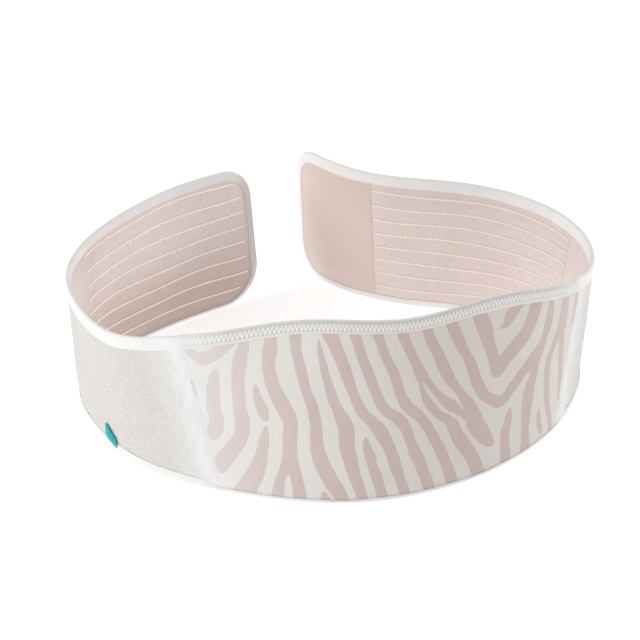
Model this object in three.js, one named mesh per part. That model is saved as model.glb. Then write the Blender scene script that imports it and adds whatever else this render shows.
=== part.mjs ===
import * as THREE from "three";
import { mergeVertices } from "three/addons/utils/BufferGeometryUtils.js";

// A maternity support belt, open, standing on its lower edge. It is worked out flat, as it is cut,
// and then stood up: along runs from the middle of the belt to the wearer's side, up from the lower
// edge, and out is the distance from the middle of the cloth, away from the body.

// The belt as it is cut, in millimetres
const BELT_LENGTH = 1240;
const CENTRE_HEIGHT = 152;
const LEFT_TOP_RADIUS = 28;
const LEFT_LOWER_RADIUS = 42;
const RIGHT_TOP_RADIUS = 28;
const RIGHT_LOWER_RADIUS = 36;
const PRINT_TOP_LENGTH = 390;
const PRINT_LOWER_LENGTH = 320;
const SEAM_TAPE_WIDTH = 18;
const HOOK_PATCH_TOP_LENGTH = 95;
const HOOK_PATCH_LOWER_LENGTH = 104;
const CHANNEL_LINING_LENGTH = 205;

// The cloths, and the channels sewn into the lining of each wing
const OUTER_CLOTH = 1.3;
const LINING_CLOTH = 1.3;
const CHANNEL_LINES = 8;
const CHANNEL_PUFF = 0.8;
const LOWEST_LINE_ABOVE_BINDING = 7;
const HIGHEST_LINE_BELOW_BINDING = 4;

// The folded tapes over the edges, and the small tag. A leg is how far a tape reaches in from the edge.
const BINDING_LEG = 11;
const LOWER_OUTER_LEG = 8;
const LOWER_INNER_LEG = 6;
const LEG_OVER_PRINT = 2.5;
const BINDING_WALL = 1;
const TRIM_FRONT_LEG = 11;
const TRIM_BACK_LEG = 9;
const TRIM_WALL = 1;
const TAG_WIDTH = 16;
const TAG_TALL_SIDE = 15;
const TAG_SHORT_SIDE = 9;
const TAG_THICKNESS = 1.2;
const TAG_FROM_LEFT_END = 338;
const TAG_ABOVE_FLOOR = 6;

// Clearances between cloths, and between the edge of a cloth and the fold of its tape
const CLOTH_GAP = 0.3;
const EDGE_GAP = 0.6;

// How the belt stands. along is a share of half the belt, from the left free end to the right one.
// heading is the direction of the lower edge in plan and lean how far the top tips outwards, in
// degrees, and height is a share of CENTRE_HEIGHT.
const SECTIONS = [
  { along: -1.0, heading: -152, height: 0.91, lean: 9 },
  { along: -0.86, heading: -140, height: 0.91, lean: 5 },
  { along: -0.72, heading: -127, height: 0.905, lean: -2 },
  { along: -0.58, heading: -77, height: 0.805, lean: 1 },
  { along: -0.44, heading: -50, height: 0.76, lean: -1 },
  { along: -0.3, heading: -22, height: 0.88, lean: -6 },
  { along: -0.15, heading: -7, height: 1.01, lean: -10 },
  { along: 0.0, heading: 19, height: 0.99, lean: -10 },
  { along: 0.15, heading: 40, height: 1.0, lean: -7 },
  { along: 0.3, heading: 62, height: 0.86, lean: -3 },
  { along: 0.44, heading: 90, height: 0.775, lean: 2 },
  { along: 0.58, heading: 140, height: 0.83, lean: 5 },
  { along: 0.72, heading: 170, height: 0.89, lean: 3 },
  { along: 0.86, heading: 149, height: 0.905, lean: 0 },
  { along: 1.0, heading: 118, height: 0.94, lean: -3 },
];

// How finely the solids are faceted
const STEP = 12;
const CORNER_STEPS = 6;
const PLAN_STEPS = 500;
const STATION_MARGIN = 0.5;
const PLAIN_ROWS = [0, 0.25, 0.5, 0.75, 1];

// Sizes that follow from those above
const BELT_END = BELT_LENGTH / 2;
const OUTER_FACE = CLOTH_GAP / 2 + OUTER_CLOTH;
const LINING_FACE = CLOTH_GAP / 2 + LINING_CLOTH;
const EDGE_INSET = Math.max(BINDING_WALL, TRIM_WALL) + EDGE_GAP;
const QUARTER_TURN = Math.PI / 2;

const radians = (degrees) => (degrees * Math.PI) / 180;
const mix = (from, to, share) => from + (to - from) * share;

// One column of the sections at any place along the belt, on a smooth curve through its rows
function section(along, column) {
  const share = THREE.MathUtils.clamp(along / BELT_END, -1, 1);
  const after = SECTIONS.findIndex((row) => row.along >= share);
  const i = Math.max(after, 1);
  const [a, b] = [SECTIONS[i - 1], SECTIONS[i]];
  const slope = (low, high) => (high[column] - low[column]) / (high.along - low.along);
  const slopeA = slope(SECTIONS[i - 2] ?? a, b);
  const slopeB = slope(a, SECTIONS[i + 1] ?? b);
  const span = b.along - a.along;
  const t = (share - a.along) / span;
  const rise = b[column] - a[column];
  const bend = (1 - t) * (slopeA * span - rise) - t * (slopeB * span - rise);
  return a[column] + t * rise + t * (1 - t) * bend;
}

// The lower edge in plan, followed step by step along its heading
function walkPlan() {
  const points = [new THREE.Vector2(0, 0)];
  const pace = BELT_LENGTH / PLAN_STEPS;
  for (let i = 0; i < PLAN_STEPS; i += 1) {
    const heading = radians(section((i + 0.5) * pace - BELT_END, "heading"));
    const last = points[points.length - 1];
    const stride = new THREE.Vector2(Math.cos(heading), Math.sin(heading)).multiplyScalar(pace);
    points.push(last.clone().add(stride));
  }
  return points;
}

const PLAN = walkPlan();

// Even stations along the belt, which the cloths and tapes share so that their facets lie together
function stationsBetween(from, to) {
  const count = Math.ceil(BELT_LENGTH / STEP);
  const stations = Array.from({ length: count + 1 }, (_, i) => mix(-BELT_END, BELT_END, i / count));
  return stations.filter((station) => station > from + STATION_MARGIN && station < to - STATION_MARGIN);
}

// Edges of columns from one edge of a cloth to another, without the last one
const even = (share) => share;
const slowStart = (share) => 1 - Math.cos(share * QUARTER_TURN);
const slowStop = (share) => Math.sin(share * QUARTER_TURN);

function spread(from, to, count, pace) {
  return Array.from({ length: count }, (_, i) => (row) => mix(from(row), to(row), pace(i / count)));
}

function planPoint(along) {
  const place = THREE.MathUtils.clamp((along + BELT_END) / BELT_LENGTH, 0, 1) * PLAN_STEPS;
  const i = Math.min(Math.floor(place), PLAN_STEPS - 1);
  return PLAN[i].clone().lerp(PLAN[i + 1], place - i);
}

// A point of the flat belt, stood up
function onBelt(along, up, out) {
  const heading = radians(section(along, "heading"));
  const lean = radians(section(along, "lean"));
  const foot = planPoint(along);
  const reach = up * Math.sin(lean) + out;
  return new THREE.Vector3(
    foot.x + reach * Math.sin(heading),
    foot.y - reach * Math.cos(heading),
    up * Math.cos(lean),
  );
}

const topAt = (along) => CENTRE_HEIGHT * section(along, "height");

// A corner is never tighter than the tape that is folded round it
const cornerRadius = (radius) => Math.max(radius, BINDING_LEG + BINDING_WALL);

const CORNERS = {
  left: { top: cornerRadius(LEFT_TOP_RADIUS), lower: cornerRadius(LEFT_LOWER_RADIUS) },
  right: { top: cornerRadius(RIGHT_TOP_RADIUS), lower: cornerRadius(RIGHT_LOWER_RADIUS) },
};

// How far a rounded corner takes the edge of a cloth in, at one place along the belt
function cornerCut(along, level) {
  const radius = CORNERS[along < 0 ? "left" : "right"][level] - EDGE_INSET;
  const fromArc = Math.abs(along) - (BELT_END - EDGE_INSET - radius);
  return fromArc > 0 ? radius - Math.sqrt(Math.max(radius ** 2 - fromArc ** 2, 0)) : 0;
}

const clothTop = (along) => topAt(along) - EDGE_INSET - cornerCut(along, "top");
const clothBottom = (along) => EDGE_INSET + cornerCut(along, "lower");

// Moves each corner of a plain geometry to its place on the belt, and closes the mesh
function bendGeometry(geometry, place) {
  const position = geometry.attributes.position;
  const corner = new THREE.Vector3();
  for (let i = 0; i < position.count; i += 1) {
    corner.fromBufferAttribute(position, i);
    position.setXYZ(i, ...place(corner));
  }
  geometry.deleteAttribute("normal");
  geometry.deleteAttribute("uv");
  const closed = mergeVertices(geometry);
  closed.computeVertexNormals();
  return closed;
}

function fabric(colour) {
  return new THREE.MeshStandardMaterial({ color: colour, roughness: 0.9, metalness: 0 });
}

// Columns from one to another, even ones, or closer together round the corners of a free end
function towards(from, to, freeEnd, pace) {
  const reach = Math.max(to(0) - from(0), to(1) - from(1));
  return freeEnd ? spread(from, to, CORNER_STEPS, pace) : spread(from, to, Math.ceil(reach / STEP), even);
}

// The columns of a cloth, each a place along the belt at a share of the height: the stations that
// clear both its edges, and what fills the stretch from each edge to them
function columnsBetween(left, right) {
  const leftmost = Math.max(left(0), left(1));
  const rightmost = Math.min(right(0), right(1));
  const free = { left: leftmost <= EDGE_INSET - BELT_END, right: rightmost >= BELT_END - EDGE_INSET };
  const widest = (side) => Math.max(CORNERS[side].top, CORNERS[side].lower);
  const start = leftmost + (free.left ? widest("left") : 0);
  const stop = rightmost - (free.right ? widest("right") : 0);
  const inner = stationsBetween(start, stop);
  if (inner.length === 0) {
    return [...towards(left, right, false, even), right];
  }
  const first = () => inner[0];
  const last = () => inner[inner.length - 1];
  const middle = inner.slice(0, -1).map((station) => () => station);
  return [
    ...towards(left, first, free.left, slowStart),
    ...middle,
    ...towards(last, right, free.right, slowStop),
    right,
  ];
}

// A cloth between two edges, left and right, each given by the share of the height
function cloth(name, material, { left, right, rows = PLAIN_ROWS, back, front }) {
  const columns = columnsBetween(left, right);
  const [columnCount, rowCount] = [columns.length - 1, rows.length - 1];
  const flat = new THREE.BoxGeometry(1, 1, 1, columnCount, rowCount, 1);
  const geometry = bendGeometry(flat, ({ x, y, z }) => {
    const row = rows[Math.round((y + 0.5) * rowCount)];
    const along = columns[Math.round((x + 0.5) * columnCount)](row);
    const up = mix(clothBottom(along), clothTop(along), row);
    return onBelt(along, up, z > 0 ? front(along, row) : back(along, row));
  });
  const mesh = new THREE.Mesh(geometry, material);
  mesh.name = name;
  return mesh;
}

// The outer cloths lie side by side: brushed loop cloth, seam tape, print, seam tape, loop cloth
const printEdge = (row) => mix(PRINT_LOWER_LENGTH, PRINT_TOP_LENGTH, row) / 2;
const tapeEdge = (row) => printEdge(row) + CLOTH_GAP + SEAM_TAPE_WIDTH;
const loopEdge = (row) => tapeEdge(row) + CLOTH_GAP;
const beltEdge = () => BELT_END - EDGE_INSET;
const mirrored = (edge) => (row) => -edge(row);

function outerCloths() {
  const faces = { back: () => CLOTH_GAP / 2, front: () => OUTER_FACE };
  const loop = fabric(0xe3dfda);
  const tape = fabric(0xf0f0f0);
  const outer = (name, material, left, right) => cloth(name, material, { left, right, ...faces });
  return [
    outer("loop_panel_left", loop, mirrored(beltEdge), mirrored(loopEdge)),
    outer("seam_tape_left", tape, mirrored(tapeEdge), (row) => -printEdge(row) - CLOTH_GAP),
    outer("centre_panel", fabric(0xd6cbc5), mirrored(printEdge), printEdge),
    outer("seam_tape_right", tape, (row) => printEdge(row) + CLOTH_GAP, tapeEdge),
    outer("loop_panel_right", loop, loopEdge, beltEdge),
  ];
}

// The channels of a wing's lining puff towards the body between one stitch line and the next
function channelRows() {
  const height = topAt(-BELT_END);
  const lowest = BINDING_LEG + LOWEST_LINE_ABOVE_BINDING;
  const highest = height - BINDING_LEG - HIGHEST_LINE_BELOW_BINDING;
  const halves = 2 * (CHANNEL_LINES - 1);
  const rows = [0];
  for (let i = 0; i <= halves; i += 1) {
    const up = mix(lowest, highest, i / halves);
    rows.push((up - EDGE_INSET) / (height - 2 * EDGE_INSET));
  }
  rows.push(1);
  return rows;
}

// The lining's face, flat under the binding and along its seams
function channelFace(rows, left, right) {
  return (along, row) => {
    const inChannel = rows.indexOf(row) % 2 === 0 && row > 0 && row < 1;
    const fromEdge = Math.min(along - left(row), right(row) - along);
    const fromTape = Math.min(along + BELT_END, BELT_END - along) - BINDING_LEG - EDGE_GAP;
    const fade = THREE.MathUtils.clamp(Math.min(fromEdge, fromTape) / BINDING_LEG, 0, 1);
    return -LINING_FACE - (inChannel ? CHANNEL_PUFF * fade : 0);
  };
}

function linings() {
  const pink = fabric(0xdec8c1);
  const hook = fabric(0xd9c8c0);
  const hookSeam = (row) => BELT_END - mix(HOOK_PATCH_LOWER_LENGTH, HOOK_PATCH_TOP_LENGTH, row);
  const rightSeam = () => hookSeam(1) - CHANNEL_LINING_LENGTH;
  const leftSeam = () => CHANNEL_LINING_LENGTH - BELT_END;
  const after = (seam) => (row) => seam(row) + CLOTH_GAP;
  const front = () => -CLOTH_GAP / 2;
  const plain = (name, material, left, right) =>
    cloth(name, material, { left, right, back: () => -LINING_FACE, front });
  const channelled = (name, left, right) => {
    const rows = channelRows();
    return cloth(name, pink, { left, right, rows, back: channelFace(rows, left, right), front });
  };
  return [
    channelled("lining_left", mirrored(beltEdge), leftSeam),
    plain("lining_centre", pink, after(leftSeam), rightSeam),
    channelled("lining_right", after(rightSeam), hookSeam),
    plain("hook_patch", hook, after(hookSeam), beltEdge),
  ];
}

// The outline of a tape folded over the edge: inwards from the edge, and out through the cloth
function foldedSection(leg, wall) {
  const [frontIn, backIn] = [OUTER_FACE + CLOTH_GAP, -LINING_FACE - CLOTH_GAP];
  const [frontOut, backOut] = [frontIn + wall, backIn - wall];
  return new THREE.Shape([
    new THREE.Vector2(leg, frontOut),
    new THREE.Vector2(0, frontOut),
    new THREE.Vector2(0, backOut),
    new THREE.Vector2(leg, backOut),
    new THREE.Vector2(leg, backIn),
    new THREE.Vector2(wall, backIn),
    new THREE.Vector2(wall, frontIn),
    new THREE.Vector2(leg, frontIn),
  ]);
}

// A tape folded over the belt's edge along a path of places, each with its way inwards. Its legs
// are drawn a length of 1 in from the wall, and are as long as legsAt says at each place.
function foldedTape(name, material, { wall, path, legsAt }) {
  const steps = path.length - 1;
  const shape = foldedSection(wall + 1, wall);
  const flat = new THREE.ExtrudeGeometry(shape, { depth: 1, steps, bevelEnabled: false });
  const geometry = bendGeometry(flat, ({ x, y, z }) => {
    const { along, up, inward } = path[Math.round(z * steps)];
    const legs = legsAt({ along, up });
    const reach = x > wall ? legs[y > 0 ? "outer" : "inner"] : x;
    return onBelt(along + inward.x * reach, up + inward.y * reach, y);
  });
  const mesh = new THREE.Mesh(geometry, material);
  mesh.name = name;
  return mesh;
}

// Places along the top or the lower edge at the stations between two ends, and at the ends
function levelRun(from, to, upAt, inward) {
  const stations = stationsBetween(Math.min(from, to), Math.max(from, to));
  const inOrder = from < to ? stations : stations.reverse();
  return [from, ...inOrder, to].map((along) => ({ along, up: upAt(along), inward }));
}

const topRun = (from, to) => levelRun(from, to, topAt, new THREE.Vector2(0, -1));
const lowerRun = (from, to) => levelRun(from, to, () => 0, new THREE.Vector2(0, 1));

// Places round one rounded corner, starting from the way it faces at first
function cornerRun(side, level, startAngle) {
  const radius = CORNERS[side][level];
  const centre = (side === "left" ? -1 : 1) * (BELT_END - radius);
  return Array.from({ length: CORNER_STEPS + 1 }, (_, i) => {
    const angle = startAngle + (QUARTER_TURN * i) / CORNER_STEPS;
    const along = centre + radius * Math.cos(angle);
    const middle = level === "top" ? topAt(along) - radius : radius;
    const inward = new THREE.Vector2(-Math.cos(angle), -Math.sin(angle));
    return { along, up: middle + radius * Math.sin(angle), inward };
  });
}

// Places up or down a free end, between its two corners
function endRun(side, downwards) {
  const along = side === "left" ? -BELT_END : BELT_END;
  const high = topAt(along) - CORNERS[side].top;
  const low = CORNERS[side].lower;
  const inward = new THREE.Vector2(-Math.sign(along), 0);
  const [from, to] = downwards ? [high, low] : [low, high];
  const count = Math.ceil((high - low) / STEP);
  return Array.from({ length: count + 1 }, (_, i) => ({ along, up: mix(from, to, i / count), inward }));
}

// The ends of neighbouring stretches of a path are the same place, which is kept once
const joined = (...stretches) => stretches.flatMap((stretch, i) => (i === 0 ? stretch : stretch.slice(1)));

// The binding's legs are shorter along the lower edge, where the print laps over the outer one
function bindingLegs({ along, up }) {
  const rise = THREE.MathUtils.clamp(up / CORNERS[along < 0 ? "left" : "right"].lower, 0, 1);
  const pastPrint = Math.abs(along) - PRINT_LOWER_LENGTH / 2;
  const clearOfPrint = THREE.MathUtils.clamp(pastPrint / SEAM_TAPE_WIDTH, 0, 1);
  const lowerOuter = mix(LEG_OVER_PRINT, LOWER_OUTER_LEG, clearOfPrint);
  return { outer: mix(lowerOuter, BINDING_LEG, rise), inner: mix(LOWER_INNER_LEG, BINDING_LEG, rise) };
}

// The binding is sewn on in three lengths, which meet at the foot of each free end's lower corner
function bindings() {
  const start = PRINT_TOP_LENGTH / 2 + CLOTH_GAP;
  const leftFoot = CORNERS.left.lower - BELT_END;
  const rightFoot = BELT_END - CORNERS.right.lower;
  const leftEnd = joined(
    topRun(-start, CORNERS.left.top - BELT_END),
    cornerRun("left", "top", QUARTER_TURN),
    endRun("left", true),
    cornerRun("left", "lower", 2 * QUARTER_TURN),
  );
  const rightEnd = joined(
    cornerRun("right", "lower", 3 * QUARTER_TURN),
    endRun("right", false),
    cornerRun("right", "top", 0),
    topRun(BELT_END - CORNERS.right.top, start),
  );
  const lower = lowerRun(leftFoot + CLOTH_GAP, rightFoot - CLOTH_GAP);
  const tape = fabric(0xf2f1ee);
  const length = (name, path) =>
    foldedTape(name, tape, { wall: BINDING_WALL, path, legsAt: bindingLegs });
  return [
    length("binding_left", leftEnd),
    length("binding_lower", lower),
    length("binding_right", rightEnd),
  ];
}

function topTrim() {
  const end = PRINT_TOP_LENGTH / 2;
  const legs = { outer: TRIM_FRONT_LEG, inner: TRIM_BACK_LEG };
  const path = topRun(end, -end);
  return foldedTape("top_trim", fabric(0xc8c3bf), { wall: TRIM_WALL, path, legsAt: () => legs });
}

// The tag lies on the outside of the binding at the lower edge, with its taller side to the left end
function edgeTag() {
  const back = OUTER_FACE + CLOTH_GAP + BINDING_WALL + CLOTH_GAP;
  const flat = new THREE.BoxGeometry(TAG_WIDTH, 1, TAG_THICKNESS, 2, 2, 1);
  const geometry = bendGeometry(flat, ({ x, y, z }) => {
    const fromLeft = x + TAG_WIDTH / 2;
    const tall = mix(TAG_TALL_SIDE, TAG_SHORT_SIDE, fromLeft / TAG_WIDTH);
    const along = TAG_FROM_LEFT_END - BELT_END + fromLeft;
    return onBelt(along, TAG_ABOVE_FLOOR + tall * (y + 0.5), back + z + TAG_THICKNESS / 2);
  });
  const mesh = new THREE.Mesh(geometry, fabric(0x12b3b7));
  mesh.name = "edge_tag";
  return mesh;
}

// The origin is at the middle of the belt's box, on the floor
const belt = new THREE.Group();
belt.add(...outerCloths(), ...linings(), topTrim(), ...bindings(), edgeTag());
const box = new THREE.Box3().setFromObject(belt);
const middle = box.getCenter(new THREE.Vector3());
belt.position.set(-middle.x, -middle.y, -box.min.z);

export default belt;
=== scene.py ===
"""The looks of a maternity support belt, open, standing on its lower edge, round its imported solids.

It is worked out flat, in millimetres, and then stood up: along runs from the middle of the belt to
the wearer's side, up from the lower edge, and out is the distance from the middle of the cloth,
away from the body.
"""

import math

import bmesh
import bpy
import numpy as np
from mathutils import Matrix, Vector


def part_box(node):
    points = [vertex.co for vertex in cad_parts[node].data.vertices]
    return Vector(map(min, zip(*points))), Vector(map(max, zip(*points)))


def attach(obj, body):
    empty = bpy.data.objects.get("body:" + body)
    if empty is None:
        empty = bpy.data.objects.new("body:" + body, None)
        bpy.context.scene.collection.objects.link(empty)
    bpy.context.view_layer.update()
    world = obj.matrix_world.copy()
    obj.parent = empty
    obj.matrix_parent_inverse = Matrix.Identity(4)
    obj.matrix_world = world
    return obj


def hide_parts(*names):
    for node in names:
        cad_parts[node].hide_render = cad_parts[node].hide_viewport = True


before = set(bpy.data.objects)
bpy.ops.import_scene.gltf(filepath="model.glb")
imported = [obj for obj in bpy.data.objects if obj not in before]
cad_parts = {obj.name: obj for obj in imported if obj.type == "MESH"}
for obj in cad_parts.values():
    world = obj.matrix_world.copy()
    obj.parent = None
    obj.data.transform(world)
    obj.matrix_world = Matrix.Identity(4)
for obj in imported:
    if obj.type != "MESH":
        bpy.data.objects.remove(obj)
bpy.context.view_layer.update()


# Printed front panel
# A fine smooth knit, printed with wavy pale pink stripes and laminated to the belt's foam and
# lining. It is cut with slanting ends, and the seam tapes and the edge tapes hold it all round.

MM = 0.001
BELT_LENGTH = 1240
BELT_END = BELT_LENGTH / 2
CENTRE_HEIGHT = 152
PRINT_TOP_LENGTH = 390
PRINT_LOWER_LENGTH = 320
PRINT_EXTRA_RIGHT = 7
CLOTH_GAP = 0.3
OUTER_CLOTH = 1.3
OUTER_FACE = CLOTH_GAP / 2 + OUTER_CLOTH
EDGE_INSET = 1.6
SEAM_SLOPE = 0.27
PRESSED_EDGE = 0.62
PRESSED_REACH = 13
FLAT_MARGIN = 12.4
CORNERS = {-1: {"top": 28, "lower": 42}, 1: {"top": 28, "lower": 36}}

# How the belt stands: a share of half the belt, the heading of the lower edge in plan in degrees,
# the height as a share of CENTRE_HEIGHT, and how far the top tips outwards in degrees
SECTIONS = np.array([
    (-1.0, -152, 0.91, 9),
    (-0.86, -140, 0.91, 5),
    (-0.72, -127, 0.905, -2),
    (-0.58, -77, 0.805, 1),
    (-0.44, -50, 0.76, -1),
    (-0.3, -22, 0.88, -6),
    (-0.15, -7, 1.01, -10),
    (0.0, 19, 0.99, -10),
    (0.15, 40, 1.0, -7),
    (0.3, 62, 0.86, -3),
    (0.44, 90, 0.775, 2),
    (0.58, 140, 0.83, 5),
    (0.72, 170, 0.89, 3),
    (0.86, 149, 0.905, 0),
    (1.0, 118, 0.94, -3),
])
HEADING, HEIGHT, LEAN = 1, 2, 3
PLAN_STEPS = 500

# Waves of the laminated cloth: their depth, and for each of two crossed waves the millimetres along
# and up in which it gains a radian, and the radian where it starts
LAZY_WAVES = (0.8, (47, math.inf, 0.6), (160, 41, 0))
QUICK_WAVES = (0.35, (19, 37, 1.1), (-71, 29, math.pi / 2))
SEAM_PUCKERS = (0.5, (7.5, 5.6, 0), (math.inf, 19, 1))
PUCKERS_BEYOND_PRINT = 12
PUCKER_REACH = 22
STEADY_FOOT = 20

# The stripes, drawn flat: each is a brush stroke through places along and up, with half its width
STRIPES = [
    [(-193, 121, 2), (-186, 118.5, 4), (-178, 115, 6), (-170, 118.5, 6), (-161, 125, 5), (-152, 132, 3),
     (-145, 137, 1)],
    [(-166, 105, 3.5), (-167, 98, 5.4), (-168, 87, 6.4), (-167.5, 75, 6.8), (-165, 63, 7.2),
     (-166.5, 54, 7.4), (-168.5, 49, 4.5)],
    [(-141, 139, 3.5), (-145.5, 122, 6), (-147.5, 104, 6.5), (-147, 88, 6), (-145, 74, 6.5),
     (-143, 62, 7), (-145.5, 50, 7), (-151, 40, 7.5), (-157, 31, 8), (-161, 24, 8)],
    [(-133.5, 97, 1.5), (-132.5, 91, 3.6), (-130, 83, 4.6), (-126.5, 75, 5.2), (-124.5, 70, 3)],
    [(-120.5, 146, 5), (-121, 141, 5), (-122.3, 128, 6.7), (-123, 114, 6), (-120.5, 102, 6.5),
     (-115.5, 90, 7), (-109, 79, 7.5), (-104, 67, 7), (-104.5, 54, 6.7), (-104, 42, 7),
     (-103.5, 33, 8)],
    [(-107, 30, 5), (-110.5, 20, 4.5), (-112.5, 10, 5.3), (-114, -4, 6)],
    [(-101, 30, 6), (-98, 20, 5.5), (-96, 10, 6), (-93.5, -4, 6)],
    [(-124, 62, 2), (-125, 53, 4.5), (-126.5, 42, 5.5), (-128.5, 31, 7), (-132.5, 19, 8.5),
     (-137.5, 9, 9.5), (-143, -4, 11)],
    [(-102.5, 148, 6), (-102, 142, 6), (-100, 127, 5.2), (-96, 112, 5.2), (-92.5, 97, 5),
     (-87, 85, 5.5), (-84, 72, 5.5), (-83, 60, 6), (-82, 48, 6.5), (-77.5, 34, 7.5), (-71, 21, 7),
     (-64, 9, 6.5), (-58, -4, 5)],
    [(-76, 9, 1.5), (-75, 4, 4), (-73.5, -4, 6)],
    [(-82, 138, 1.5), (-80, 127, 3), (-77, 114, 3.8), (-73, 101, 4.5), (-69, 89, 4.8),
     (-64.5, 79, 5.5), (-60, 71, 7), (-58, 61, 7.5), (-57.5, 50, 7), (-55, 38, 6.5), (-51.5, 24, 6),
     (-47.5, 12, 5), (-43.5, -4, 5)],
    [(-74, 148, 7.5), (-72, 143, 7.5), (-67, 132, 6.5), (-61.5, 120, 6), (-57, 108, 5.5),
     (-53, 96, 5), (-49, 86, 5), (-44, 77, 5.5), (-37, 69.5, 5.5), (-30.5, 62, 6.5),
     (-25.5, 52, 6.3), (-21, 41, 5.5), (-18, 30, 5.8), (-15, 19, 5), (-11.5, 8, 5), (-8.5, -4, 4.8)],
    [(-42.5, 56, 1.5), (-41.5, 49, 4), (-38.5, 39, 5), (-36, 29, 4.5), (-33, 19, 5), (-30.5, 9, 4.7),
     (-27.5, -4, 4.3)],
    [(-52, 148, 5.5), (-50, 142, 5.5), (-46.5, 130, 5), (-43, 120, 5), (-39, 110, 5.3),
     (-35.5, 100, 5), (-31.5, 90, 5), (-26.5, 80, 5.3), (-20, 74, 5.3), (-13, 68, 5.8),
     (-8, 60, 5.2), (-5, 50, 5), (-1.5, 40, 5.8), (2.5, 30, 6), (5.5, 20, 5.2), (9, 10, 5.7),
     (11.5, -4, 5)],
    [(-32, 148, 5.5), (-30, 141, 5.5), (-26.5, 130, 4.5), (-22.5, 120, 4.5), (-17.5, 110, 5.2),
     (-14.5, 100, 5.2), (-12, 90, 5), (-6.5, 80, 5.5), (-1, 74, 5.5), (4, 69, 5.3), (10, 60, 5),
     (15, 50, 5), (19.5, 40, 5.5), (23.5, 30, 5.5), (26.5, 20, 5.5), (30, 10, 6), (33.5, -4, 5.7)],
    [(-10, 148, 5.5), (-8, 140, 5.5), (-4, 130, 4.8), (0, 120, 4.5), (4.5, 110, 5.5), (8, 101, 6.3)],
    [(7, 98, 3), (7.5, 90, 2.5), (10, 84, 3.5), (12.3, 80, 4.7), (15.5, 75, 5), (19.5, 70, 5),
     (25.5, 65, 5.5), (31, 60, 6), (35.5, 50, 6.5), (40, 40, 7), (46, 30, 6.8), (51, 20, 7),
     (55, 10, 7), (60, -4, 7)],
    [(12, 98, 3), (17, 90, 4), (21, 84, 4.5), (25, 80, 4.7), (29, 75, 6), (34, 70, 7), (42, 66, 6.5)],
    [(13, 148, 5.3), (15, 138, 5.3), (17.5, 130, 5.5), (22.5, 120, 5.5), (26, 110, 6), (30.5, 100, 6),
     (35.5, 90, 5.5), (41.5, 80, 5.8), (46, 72, 7), (50, 62, 9.5), (55.5, 50, 9.6), (61.5, 40, 8.6),
     (67.5, 31, 6.6), (72, 26, 3.4)],
    [(34.5, 148, 6), (37, 141, 6), (41.5, 130, 6), (45.5, 120, 5.5), (50.5, 110, 5), (54.5, 100, 6),
     (57.5, 90, 6), (61, 80, 5.8), (65, 73, 5.5), (72, 66.5, 5.5), (80, 61.5, 6), (87, 62, 5.5),
     (95, 68, 6), (104, 74, 6), (113, 79.5, 6.5), (122, 83, 8), (130, 88, 8)],
    [(63, 148, 7.5), (64, 143, 7.5), (69, 130, 8.5), (71.5, 120, 7.5), (74.5, 110, 6.5),
     (77.5, 100, 6.5), (80, 92, 8), (82, 92, 9), (92, 98, 8), (102, 104, 8.5), (112, 110, 9),
     (119, 117, 9), (124, 125, 9), (128, 133, 9)],
    [(110, 139, 3), (104, 137, 5.5), (97, 133, 7), (92, 127, 4.5), (86, 125.5, 1.5)],
    [(148, 130, 3.5), (147, 120, 5.5), (144.5, 110, 6.5), (139.5, 100, 5.5), (133.5, 90, 7),
     (127, 80, 7), (124, 70, 6.5), (118.5, 60, 8), (115.5, 50, 8.5), (113, 40, 7.8), (112, 30, 6.5),
     (111, 20, 6), (111.5, 10, 7), (111.5, -4, 7.5)],
    [(92.5, 49, 2.5), (90.5, 42, 5), (87, 32, 5.8), (86, 20, 5.8), (87, 8, 6.8), (87.2, -4, 7)],
    [(130.5, 32, 1.5), (130.5, 26, 3.5), (131.5, 18, 4), (133.5, 11, 3.2), (134, 8, 2)],
    [(172.5, 140, 7), (172, 132, 7), (171, 124, 7), (170, 115, 7.6), (168, 105, 8.2), (166.5, 97, 8.8)],
    [(166.5, 97, 8), (160, 92, 6), (154.5, 85, 4.5), (149, 78, 4.5), (145.5, 70, 5.5), (144, 60, 5.8),
     (143.5, 50, 5.5), (143.5, 40, 5.2), (145, 30, 4.8), (147.5, 20, 4.5), (149.5, 10, 4),
     (149, -4, 4)],
    [(166.5, 97, 8), (167, 90, 6), (167, 80, 5), (167.5, 70, 5), (168, 60, 5), (168, 50, 5),
     (166.5, 40, 3.5), (164.5, 30, 2.5), (164, 25, 1)],
    [(193, 140, 4), (192.5, 128, 4.2), (191.5, 117, 4.4), (190, 108, 4), (187.5, 99, 3), (185, 91, 1.5)],
]
# Thin white lines that part two stripes which nearly touch
WHITE_LINES = [
    [(8.5, 97, 0.8), (11.5, 91, 1.8), (15, 85, 2.4), (18.5, 80, 2.4), (21.7, 75, 2.1), (25.9, 70, 1.8),
     (32, 65.5, 1.5), (38, 60.5, 1.7), (43, 55.5, 2), (45.5, 52.5, 1.2)],
    [(32, 88, 1.2), (35.5, 81, 2), (38.8, 75, 1.9), (42, 70, 1.4), (45, 66, 0.7)],
]
BRUSH_SLANT = 0.88
STROKE_STEPS = 5
PANEL_STEP = 1.35
STROKE_REACH = 4 * PANEL_STEP
INK_EDGE = 0.45
KNIT_RIB = 1.1
PRINT_DEPTH = 0.12


def section(along, column):
    """One column of SECTIONS at places along the belt, on a smooth curve through its rows."""
    places, values = SECTIONS[:, 0], SECTIONS[:, column]
    slopes = np.gradient(values, places)
    slopes[1:-1] = (values[2:] - values[:-2]) / (places[2:] - places[:-2])
    share = np.clip(np.asarray(along, float) / BELT_END, -1, 1)
    i = np.clip(np.searchsorted(places, share, side="right") - 1, 0, len(places) - 2)
    span = places[i + 1] - places[i]
    t = (share - places[i]) / span
    rise = values[i + 1] - values[i]
    bend = (1 - t) * (slopes[i] * span - rise) - t * (slopes[i + 1] * span - rise)
    return values[i] + t * rise + t * (1 - t) * bend


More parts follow.
